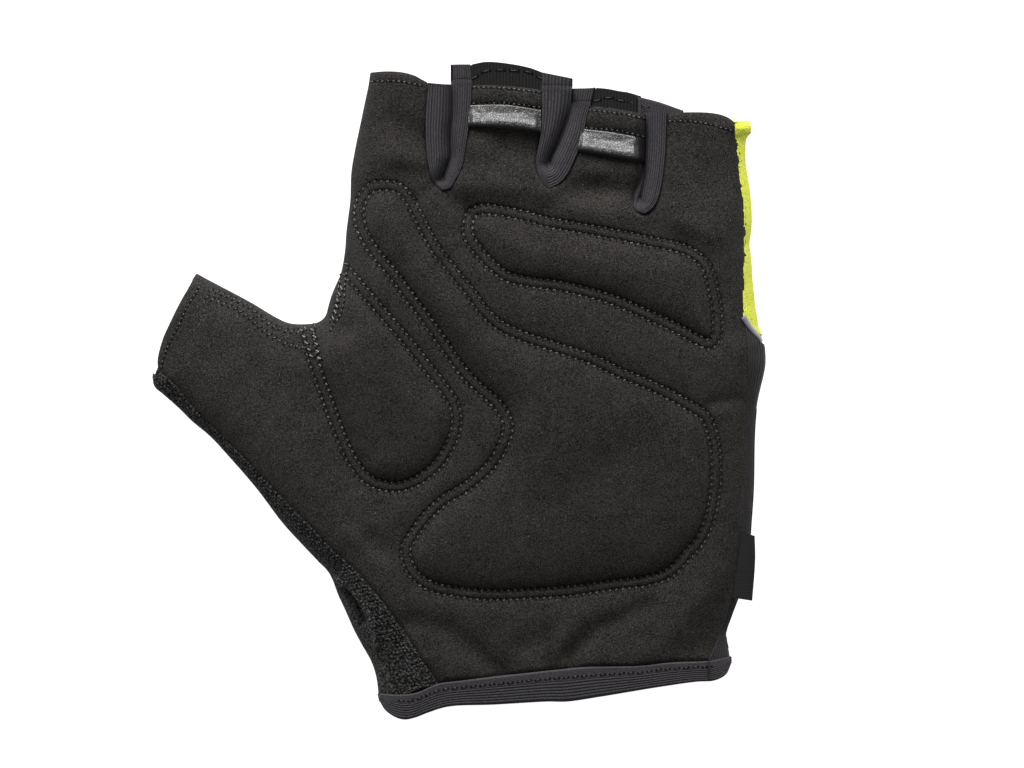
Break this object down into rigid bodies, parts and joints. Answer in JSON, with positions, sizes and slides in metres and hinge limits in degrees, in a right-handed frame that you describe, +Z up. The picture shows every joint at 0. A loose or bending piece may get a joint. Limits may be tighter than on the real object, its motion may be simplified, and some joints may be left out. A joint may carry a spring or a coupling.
{
  "type": "cycling glove",
  "caption": "Left-hand short-finger cycling glove lying palm up, with raised palm pads, finger tapes, pull-off tabs, a terry thumb back and a bound cuff.",
  "frame": {"origin": "under the middle of the glove, on the surface that it lies on", "axes": "+X from the thumb to the little finger, +Y from the cuff to the fingertips, +Z up out of the palm"},
  "size_m": [0.1526, 0.1639, 0.0194],
  "materials": {
    "suede": "fine napped synthetic suede, near black, with lighter specks",
    "stretch_fabric": "black knitted stretch fabric",
    "terry": "black looped terry",
    "bright_fabric": "fluorescent yellow knitted stretch fabric",
    "reflective": "grey reflective piping",
    "ribbed_fabric": "black fine-ribbed stretch fabric",
    "elastic": "dark bluish grey ribbed elastic tape",
    "gloss_leather": "black glossy synthetic leather",
    "label": "black woven satin label, blank"
  },
  "bodies": {
    "root": {"palm_panel": "suede", "back_panel": "stretch_fabric", "thumb_back_terry": "terry", "side_panel_bright": "bright_fabric", "reflective_piping": "reflective", "side_gusset_ribbed": "ribbed_fabric", "finger_tape_index_middle": "elastic", "finger_tape_middle_ring": "elastic", "finger_tape_ring_little": "elastic", "pull_tab_middle": "gloss_leather", "pull_tab_ring": "gloss_leather", "cuff_binding": "elastic", "side_label": "label"}
  },
  "joints": []
}
